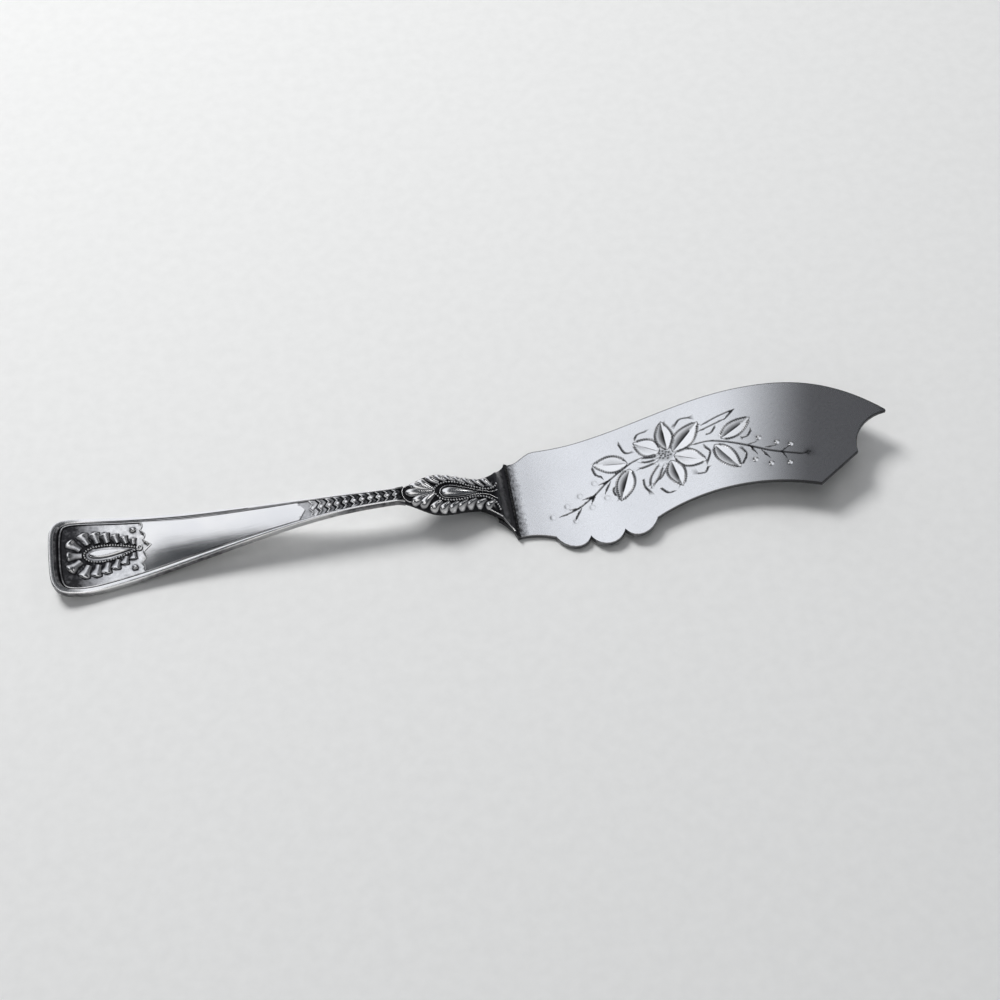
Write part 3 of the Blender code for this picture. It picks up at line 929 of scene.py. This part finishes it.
beside = np.concatenate([boss_top[:, (a, b)] for a, b in ((0, 1), (1, 2), (2, 0), (1, 0), (2, 1), (0, 2))])
shared = np.maximum(np.bincount(beside[:, 0], minlength=len(crest)), 1)
for _ in range(14):
    rounded = np.bincount(beside[:, 0], weights=crest[beside[:, 1]], minlength=len(crest)) / shared
    crest[len(boss_loop):] = rounded[len(boss_loop):]
boss_foot = np.column_stack((boss_loop[::-1], np.full(len(boss_loop), -0.2 * MM)))
corners = np.concatenate((np.column_stack((boss_plan, crest)), boss_foot))
count, base = len(boss_loop), len(boss_plan)
faces = [tuple(face) for face in boss_top]
faces += [(k, base + k, base + (k + 1) % count, (k + 1) % count) for k in range(count)]
faces.append(tuple(base + k for k in reversed(range(count))))
neck_boss = make_piece("neck_boss", corners, faces, [neck_silver], crease=60.0)
settle(neck_boss, neck_surface, neck_boss_height * 0.4)
fillet_turns = np.linspace(-0.62 * math.pi, 0.62 * math.pi, 24)
fillet_path = np.column_stack((-22.3 * MM - 1.9 * MM * np.cos(fillet_turns),
                               2.2 * MM * np.sin(fillet_turns)))
flare_x = np.linspace(-5.8 * MM, -0.3 * MM, 30)
ease = np.minimum(1.2 * MM, -flare_x)
flare_half = np.mean([half_edge(flare_x + share * ease) for share in (-1, -0.5, 0, 0.5, 1)], axis=0)
flare_path = np.column_stack((flare_x, -0.955 * flare_half))
threads = [fillet_path, np.concatenate((boss_back[::-1], boss_edge[1:])), flare_path]
thread_halves = [thread_radius] * (len(threads[0]) + len(threads[1])) + [flare_radius] * len(flare_path)
neck_threads = ridge("neck_threads", threads, thread_halves, neck_silver)


def thread_seat(x, y):
    """The neck's top and, along the shoulder's lower edge, a line of even height on its flank."""
    flank = neck_side(x) + 0.45 * (top_line(x) - neck_side(x))
    on_flank = (x > -6.2 * MM) & (y < -0.75 * half_edge(x))
    return np.where(on_flank, flank, neck_surface(x, y)) + 0.10 * MM


settle(neck_threads, thread_seat, thread_radius)
for piece in (lobes, neck_beads, neck_boss, neck_threads):
    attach(piece, "root")

# Blade: rolled silver sheet, sawn to outline, its edge eased with a file and its face left satin.
# A wild rose with two sprigs of berries is cut in it by hand: bright-cut petals and leaves in two facets,
# wriggled outlines, fine grooves for stems and dashes, and small dimples for the berries.
petal_depth = 0.15 * MM
groove_half = 0.24 * MM
groove_depth = 0.07 * MM
wriggle = 0.16 * MM
berry_radius = 0.70 * MM
berry_depth = 0.13 * MM
edge_ease = 0.20 * MM
dot_radius = 0.30 * MM
dot_depth = 0.12 * MM
# How dark the edges of the blade are painted, as painted shade.
edge_painted_shade = 0.82
back_edge_painted_shade = 0.75
# Where the painted shade towards the tip begins and where it is full.
tip_shade_from, tip_shade_to = 45.0 * MM, 70.5 * MM
seam_reach = 4.4 * MM
grid_x = np.arange(-3.0, 87.0, 1.3)
petals = (
    ((37.2, 4.7), (37.4, 12.5), 2.0), ((38.3, 3.8), (45.5, 10.5), 2.2), ((38.4, 2.9), (45.3, -0.1), 2.3),
    ((37.5, 1.7), (38.7, -5.5), 2.0), ((35.5, 4.6), (30.0, 8.2), 2.3),
)
ragged = (
    ((34.8, 3.6), (33.0, 3.5), (30.8, 3.9)), ((34.4, 2.9), (32.8, 2.5), (30.6, 2.6)),
    ((34.1, 2.0), (32.1, 1.4), (29.8, 1.0)),
    ((34.7, 1.4), (32.6, -1.0), (31.8, -2.7), (31.7, -4.2)), ((35.4, 0.6), (34.0, -1.9), (32.0, -4.1)),
    ((35.8, -0.3), (34.6, -2.0), (33.2, -3.1)),
)
leaves = (
    ((27.7, 3.2), (19.9, 4.4), 2.2), ((27.9, 1.6), (24.4, -6.3), 2.0),
    ((49.7, 4.8), (57.3, 8.9), 1.9), ((47.9, 3.5), (52.3, -3.7), 2.0),
)
stems = (
    ((31.0, 3.9), (28.2, 2.9), (22.6, -0.5), (18.8, -3.5), (14.5, -6.1), (10.1, -7.4)),
    ((42.8, 4.6), (46.7, 4.8), (50.6, 3.7), (54.8, 1.8), (59.9, -0.9), (66.1, -3.2), (67.6, -3.3)),
    ((46.1, 9.3), (50.1, 10.8), (54.5, 11.95)), ((54.5, 11.95), (53.15, 10.9), (51.6, 9.6)),
    ((51.9, 9.9), (48.6, 8.9), (45.0, 7.8)),
)
twigs = (
    ((22.9, -0.3), (20.3, -1.0)), ((23.0, -0.8), (21.3, -3.5)), ((18.8, -3.5), (16.1, -4.0)),
    ((19.2, -3.1), (17.8, -5.5)), ((14.8, -6.0), (12.8, -6.0)), ((15.4, -6.1), (13.4, -9.0)),
    ((58.8, 0.2), (61.0, 0.1)), ((62.2, -1.7), (63.9, -0.8)), ((55.5, 1.4), (56.6, -0.8)),
    ((57.9, -0.5), (59.1, -2.5)), ((62.1, -1.9), (62.7, -3.2)), ((55.4, 1.9), (56.9, 2.0)),
)
dashes = (
    ((30.7, 9.2), (31.6, 10.3), (33.6, 10.7)), ((26.8, 8.6), (27.7, 6.1), (29.4, 5.8)),
    ((40.5, 10.9), (41.8, 12.1), (43.9, 12.1)), ((49.0, 8.0), (47.9, 6.9), (46.3, 6.6)),
    ((45.7, 3.5), (46.6, 1.9), (45.5, -0.5)), ((45.3, -2.0), (44.3, -3.2), (42.2, -3.1)),
    ((56.7, 5.2), (55.7, 4.1), (54.2, 3.9)), ((53.8, 1.0), (54.4, -0.7), (53.0, -3.0)),
    ((30.4, -1.9), (30.4, -3.9), (31.3, -5.5)), ((33.8, -5.1), (35.1, -6.5), (36.9, -6.4)),
    ((23.5, -2.5), (23.3, -3.7), (23.8, -5.0)), ((19.7, 3.6), (20.2, 1.7), (21.8, 0.7)),
)
berries = (
    (58.0, 3.0), (61.7, 0.9), (64.6, -0.3), (56.0, -2.5), (59.2, -4.3), (63.3, -5.0),
    (19.4, -0.3), (21.5, -4.7), (15.6, -2.9), (17.8, -6.4), (12.3, -5.0), (8.6, -7.2), (13.6, -9.1),
)
bright_berries = 6
flower_middle = (36.4, 3.6)

blade_rings = stations_of("blade")
full = blade_rings[blade_rings[:, 3] - blade_rings[:, 1] > 0.1 * MM]
single = blade_rings[blade_rings[:, 3] - blade_rings[:, 1] <= 0.1 * MM]
middle = (full[:, 1] + full[:, 3]) / 2
on_edge = single[:, 1] < np.interp(single[:, 0], full[:, 0], middle)
edge_line = np.concatenate((full[:, (0, 1)], single[on_edge][:, (0, 1)]))
back_line = np.concatenate((full[:, (0, 3)], single[~on_edge][:, (0, 3)]))
edge_line = edge_line[np.argsort(edge_line[:, 0])]
back_line = back_line[np.argsort(back_line[:, 0])]
face_line = smooth_line(blade_rings[:, 0], blade_rings[:, 4])
sheet_line = smooth_line(blade_rings[:, 0], blade_rings[:, 2])
blade_loop = np.concatenate((edge_line, back_line[::-1]))


def sideways(line):
    run = np.gradient(line, axis=0)
    return np.column_stack((-run[:, 1], run[:, 0])) / np.linalg.norm(run, axis=1)[:, None]


grooves, plan_lines, spots, petal_loops = [], [], [], []


def cut_groove(line, half, depth, zigzag=0.0, dotted=0.0, blunt=0.35):
    """Marks a groove along a line, tapered at both ends. zigzag sets its points to either side by turns,
    and dotted leaves every other point paler."""
    square = sideways(line)
    taper = np.clip(np.minimum(np.arange(len(line)), np.arange(len(line))[::-1]) / 3.0, blunt, 1.0)
    line = line + square * (zigzag * np.where(np.arange(len(line)) % 2, 1, -1) * (taper > 0.9))[:, None]
    width = half * taper
    grooves.append((line, width, depth, dotted))
    plan_lines.extend((line, line + square * width[:, None], line - square * width[:, None]))


for root, tip, half in petals + leaves:
    root, tip = np.array(root) * MM, np.array(tip) * MM
    length = np.linalg.norm(tip - root)
    square = np.array((root[1] - tip[1], tip[0] - root[0])) / length
    t = np.linspace(0, 1, int(length / (0.24 * MM)))
    swell = half * MM * np.sin(math.pi * t ** 0.85) ** 0.85
    rib = root + (tip - root) * t[:, None]
    aside = square * swell[:, None]
    petal_loops.append((np.concatenate((rib - aside, (rib + aside)[-2:0:-1])), rib))
    plan_lines.append(rib)
    plan_lines += [(rib + side * aside)[4:-4] for side in (-0.6, -0.3, 0.3, 0.6)]
    for side in (1, -1):
        cut_groove(rib + side * aside, groove_half * 1.15, groove_depth, wriggle, 0.6)
    cut_groove(rib[2:int(0.7 * len(rib))], groove_half * 0.55, groove_depth)
for stem in stems:
    cut_groove(curve_through(stem, 0.35 * MM), groove_half * 1.45, groove_depth)
for twig in twigs:
    cut_groove(curve_through(twig, 0.3 * MM), groove_half * 1.5, groove_depth)
for stroke in ragged:
    cut_groove(curve_through(stroke, 0.26 * MM), groove_half, groove_depth, wriggle, 0.45)
for dash in dashes:
    line = curve_through(dash, 0.2 * MM)
    third = len(line) // 3
    for first in (0, third, 2 * third):
        cut_groove(line[first:first + third - 1], groove_half * 1.6, groove_depth, blunt=0.9)
for share, count in ((1.14, 16), (1.0, 16), (0.75, 12), (0.4, 8)):
    for turn in np.linspace(0, 2 * math.pi, count, endpoint=False):
        for x, y in berries:
            out = share * berry_radius
            spots.append((x * MM + out * math.cos(turn), y * MM + out * math.sin(turn)))
dots = [(flower_middle[0] + r * math.cos(2.4 * k), flower_middle[1] + r * math.sin(2.4 * k))
        for k, r in enumerate(np.sqrt(np.linspace(0.02, 2.2, 15)))]
dots += [(67.3, -3.3), (67.8, -3.0), (67.7, -3.7), (68.2, -3.3)]
for x, y in dots:
    spots += [(x * MM + dot_radius * math.cos(turn), y * MM + dot_radius * math.sin(turn))
              for turn in np.linspace(0, 5.2, 6)]
spots += [(x * MM, y * MM) for x, y in berries + tuple(dots)]
for x in grid_x:
    spots += [(x * MM, y * MM) for y in np.arange(-16.0, 17.5, 1.6)]
for x in np.arange(4.0, 18.5, 0.65):
    spots += [(x * MM, y * MM) for y in np.arange(-15.2, 17.5, 1.6)]
top_loop = inset_loop(blade_loop, edge_ease)
spots = np.array(spots)
spots = spots[inside(spots, inset_loop(top_loop, 0.25 * MM))]
back_rim = inset_loop(top_loop, 0.16 * MM)[len(edge_line) + 1:-1]
plan, top_faces = fill_plan(top_loop, plan_lines + [back_rim], spots)


def near(points, line, margin):
    low, high = line.min(axis=0) - margin, line.max(axis=0) + margin
    return np.nonzero(np.all((points > low) & (points < high), axis=1))[0]


depth = np.zeros(len(plan))
cut = np.zeros(len(plan))
# The back edge of the face is painted dark as painted shade.
cut[len(edge_line):len(top_loop)] = back_edge_painted_shade
bright = np.zeros(len(top_faces))
centres = plan[top_faces].mean(axis=1)
for loop, rib in petal_loops:
    some = near(plan, loop, 0.1 * MM)
    some = some[inside(plan[some], loop)]
    to_rim, _ = reach_to(plan[some], np.concatenate((loop, loop[:1])))
    to_rib, along = reach_to(plan[some], rib)
    share = to_rim / (to_rim + to_rib + 1e-9)
    share *= np.sin(math.pi * np.clip(along / (len(rib) - 1), 0, 1)) ** 0.5
    depth[some] = np.maximum(depth[some], petal_depth * share ** 1.6)
    # Painted shade: the facet on the left and upper side of each rib is darkened from the rib outwards.
    middle = rib[np.clip(np.round(along).astype(int), 0, len(rib) - 1)]
    to_middle = (middle - plan[some]) / np.maximum(to_rib, 0.05 * MM)[:, None]
    facet_painted_shade = np.clip(0.9 * to_middle[:, 0] - 0.45 * to_middle[:, 1], 0, 1)
    cut[some] = np.maximum(cut[some], np.minimum(1.3 * facet_painted_shade * share ** 1.1, 1.0))
    some = near(centres, loop, 0.0)
    bright[some] += inside(centres[some], loop)
for line, width, deep, dotted in grooves:
    some = near(plan, line, 0.4 * MM)
    gap, along = reach_to(plan[some], line)
    half = np.interp(along, np.arange(len(width)), width)
    share = np.clip(1 - gap / half, 0, 1)
    depth[some] = np.maximum(depth[some], deep * share)
    inked = 1 - dotted * (0.5 + 0.5 * np.cos(math.pi * along))
    cut[some] = np.maximum(cut[some], inked * np.clip(share * 3.5, 0, 1))
for x, y in berries:
    gap = np.hypot(plan[:, 0] - x * MM, plan[:, 1] - y * MM) / berry_radius
    faint = 0.35 if x < 30 else 1.0
    depth = np.maximum(depth, faint * berry_depth * np.clip(1 - gap ** 2, 0, 1))
    # Painted shade: a ring round each berry's dimple, darkest on its left side.
    painted_shade_side = np.clip(0.3 + (x * MM - plan[:, 0]) / berry_radius, 0.5 * (faint < 1), 1)
    cut = np.maximum(cut, (0.25 + 0.45 * faint) * painted_shade_side * np.clip(1 - np.abs(gap - 0.9) / 0.3, 0, 1))
for x, y in dots:
    gap = np.hypot(plan[:, 0] - x * MM, plan[:, 1] - y * MM) / dot_radius
    depth = np.maximum(depth, dot_depth * np.clip(1 - gap, 0, 1))
    cut = np.maximum(cut, np.clip(1.4 - gap, 0, 1))

corners = [np.column_stack((plan, face_line(plan[:, 0]) - depth))]
marks = [cut]
faces = [tuple(face) for face in top_faces]
tints = (bright > 0).astype(int)
for x, y in berries[:bright_berries]:
    tints[np.hypot(centres[:, 0] - x * MM, centres[:, 1] - y * MM) < 0.8 * berry_radius] = 2
tints = list(tints)
count = len(top_loop)
ring_starts = [0]
# The eased edge and the rim of the underside are painted dark as painted shade.
for inset, drop in ((0.30 * edge_ease, 0.25 * edge_ease), (0.0, edge_ease)):
    ring_starts.append(sum(len(block) for block in corners))
    ring = inset_loop(blade_loop, inset) if inset else blade_loop
    corners.append(np.column_stack((ring, face_line(ring[:, 0]) - drop)))
    marks.append(np.full(count, edge_painted_shade))
under_spots = np.array([(x * MM, y * MM) for x in grid_x for y in np.arange(-16.0, 17.5, 4.0)])
under_spots = under_spots[inside(under_spots, inset_loop(blade_loop, 0.3 * MM))]
under_plan, under_faces = fill_plan(blade_loop, [], under_spots)
ring_starts.append(sum(len(block) for block in corners))
corners.append(np.column_stack((under_plan, sheet_line(under_plan[:, 0]))))
marks.append(np.where(np.arange(len(under_plan)) < count, edge_painted_shade, 0.0))
faces += [tuple(ring_starts[-1] + k for k in face[::-1]) for face in under_faces]
for upper, lower in zip(ring_starts[:-1], ring_starts[1:]):
    for k in range(count):
        after = (k + 1) % count
        faces.append((upper + k, lower + k, lower + after, upper + after))
tints += [0] * (len(faces) - len(tints))


def blade_finish(name, polish, colour, tip_shade):
    """Silver of the blade: satin from the stone, or bright from the graver, with black left in the cuts.
    The cut mark also holds painted shade, and the last argument paints the face darker towards the tip.
    """
    material, tree, place = new_material(name)
    apart = add_node(tree, "ShaderNodeSeparateXYZ", Vector=place).outputs
    # The cut mark holds black in the grooves and dots, and painted shade on facets, berries and edges.
    black_and_painted_shade = add_node(tree, "ShaderNodeAttribute", {"attribute_name": "cut"}).outputs["Fac"]
    cloud = noise(tree, place, 70.0, 4.0, 0.55)
    grit = noise(tree, place, 5200.0, 2.0)
    specks = noise(tree, place, 1500.0, 6.0, 0.75)
    clean = colour_steps(tree, cloud, ((0.3, tuple(c * 0.92 for c in colour)), (0.7, colour)))
    # Painted shade: the face darkens towards the tip along a slanting line; bright-cut and berry finishes
    # take less.
    slant = maths(tree, "MULTIPLY_ADD", apart["Y"], -0.3, apart["X"])
    tip_darkening = ranged(tree, slant, tip_shade_from, tip_shade_to, 0.0, tip_shade, "SMOOTHSTEP")
    tone = blend(tree, tip_darkening, clean, (0.06, 0.06, 0.063, 1.0))
    seam = ranged(tree, apart["X"], 0.0, seam_reach, 0.46, -0.24, "SMOOTHSTEP")
    pitted = ranged(tree, maths(tree, "ADD", specks, seam), 0.46, 0.92, 0.0, 0.95)
    dark = maths(tree, "MAXIMUM", black_and_painted_shade, pitted)
    rough = maths(tree, "MULTIPLY_ADD", grit, 0.20, polish - 0.10)
    bump = add_node(tree, "ShaderNodeBump", Strength=0.22, Distance=0.03 * MM, Height=grit)
    finish_metal(tree, blend(tree, dark, tone, (0.02, 0.02, 0.022, 1.0)), rough, bump)
    return material


satin = blade_finish("satin_silver", 0.26, (0.885, 0.89, 0.91), 0.92)
bright_cut = blade_finish("bright_cut_silver", 0.18, (0.92, 0.92, 0.93), 0.70)
berry_cut = blade_finish("berry_cut_silver", 0.16, (0.80, 0.80, 0.81), 0.10)
blade = make_piece("engraved_blade", np.concatenate(corners), faces, [satin, bright_cut, berry_cut],
                   {"cut": np.concatenate(marks)}, crease=3.0, tints=tints)
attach(blade, "root")
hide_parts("blade")

# Solder seam: hard silver solder drawn into the lap between shoulder and heel, with a small fillet in front.
# It is duller than the silver, and pitted black where flux and food have sat in it.
seam_silver, tree, place = new_material("tarnished_solder")
pits = noise(tree, place, 2300.0, 5.0, 0.7)
tone = colour_steps(tree, pits, ((0.42, (0.02, 0.02, 0.021)), (0.60, (0.14, 0.14, 0.14)),
                                 (0.76, (0.60, 0.59, 0.57))))
bump = add_node(tree, "ShaderNodeBump", Strength=0.5, Distance=0.08 * MM, Height=pits)
finish_metal(tree, tone, ranged(tree, pits, 0.3, 0.7, 0.6, 0.35), bump)
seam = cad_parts["solder_seam"]
seam.data.materials.clear()
seam.data.materials.append(seam_silver)

# Studio: a pale floor, one wide window behind the server and to the left, and a grey wall behind the camera.
# A lamp by the window gives the floor its light and shadow, a soft box hangs over the camera, and two small
# lamps put the glints on the ornament. The camera is at the height and turn of the photograph.
floor_reach = 3.0
floor_level = -0.2 * MM
floor_mesh = bpy.data.meshes.new("floor")
floor_corners = [(x * floor_reach, y * floor_reach, floor_level)
                 for x, y in ((-1, -1), (1, -1), (1, 1), (-1, 1))]
floor_mesh.from_pydata(floor_corners, [], [(0, 1, 2, 3)])
floor = bpy.data.objects.new("floor", floor_mesh)
bpy.context.scene.collection.objects.link(floor)
paper, tree, place = new_material("pale_paper")
fibre = noise(tree, place, 350.0, 3.0)
shade = colour_steps(tree, fibre, ((0.3, (0.84, 0.84, 0.83)), (0.7, (0.87, 0.87, 0.86))))
sheet = add_node(tree, "ShaderNodeBsdfPrincipled", Base_Color=shade, Roughness=0.9)
add_node(tree, "ShaderNodeOutputMaterial", Surface=sheet)
floor_mesh.materials.append(paper)

look_at = Vector((-2.67 * MM, -2.6 * MM, 4.4 * MM))


def soft_light(name, place, aim, width, height, strength, in_metal=True):
    """A soft area light facing a point. strength is how bright its face looks: white paper is about one."""
    lamp = bpy.data.lights.new(name, "AREA")
    lamp.shape = "RECTANGLE"
    lamp.size = width
    lamp.size_y = height
    lamp.energy = strength * math.pi * width * height
    holder = bpy.data.objects.new(name, lamp)
    holder.location = place
    holder.rotation_euler = (Vector(aim) - Vector(place)).to_track_quat("-Z", "Y").to_euler()
    holder.visible_glossy = in_metal
    bpy.context.scene.collection.objects.link(holder)


soft_light("by_the_window", (-0.315, 0.495, 0.684), look_at, 0.30, 0.30, 19.5, in_metal=False)
soft_light("over_camera", (0.06, -0.16, 0.90), look_at, 0.60, 0.60, 0.8)
soft_light("right_glint", (0.456, 0.416, 0.504), look_at, 0.22, 0.17, 3.6)
soft_light("left_glint", (-0.68, -0.20, 0.52), look_at, 0.08, 0.08, 9.0)
world = bpy.data.worlds.new("studio")
world.use_nodes = True
tree = world.node_tree
place = add_node(tree, "ShaderNodeTexCoord").outputs["Generated"]
apart = add_node(tree, "ShaderNodeSeparateXYZ", Vector=place).outputs
room = colour_steps(tree, apart["Z"], ((0.0, (0.26, 0.264, 0.27)), (0.22, (0.12, 0.125, 0.132)),
                                       (0.5, (0.042, 0.046, 0.052))))
behind = ranged(tree, apart["Y"], 0.10, -0.25, kind="SMOOTHSTEP")
below = ranged(tree, apart["Z"], 0.62, 0.40, kind="SMOOTHSTEP")
wall = maths(tree, "MULTIPLY", behind, below)
walled = blend(tree, wall, room, (0.38, 0.385, 0.39, 1.0))
slant = maths(tree, "ADD", apart["X"], apart["Y"])
lower = ranged(tree, slant, 0.03, 0.18, kind="SMOOTHSTEP")
right = ranged(tree, apart["X"], 0.24, 0.08, kind="SMOOTHSTEP")
pane = maths(tree, "MULTIPLY", lower, right)
window = blend(tree, pane, walled, (0.93, 0.955, 1.0, 1.0))
tree.links.new(window, tree.nodes["Background"].inputs["Color"])
tree.nodes["Background"].inputs["Strength"].default_value = 1.0
bpy.context.scene.world = world

turn, rise = math.radians(-9.75), math.radians(58.0)
camera_distance = 0.4024
lens = bpy.data.cameras.new("camera")
lens.lens = 64.8
lens.sensor_width = 36.0
lens.clip_start = 0.01
camera = bpy.data.objects.new("camera", lens)
away = Vector((math.sin(turn) * math.cos(rise), -math.cos(turn) * math.cos(rise), math.sin(rise)))
camera.location = look_at + camera_distance * away
camera.rotation_euler = away.to_track_quat("Z", "Y").to_euler()
bpy.context.scene.collection.objects.link(camera)
bpy.context.scene.camera = camera
bpy.context.scene.view_settings.view_transform = "Standard"
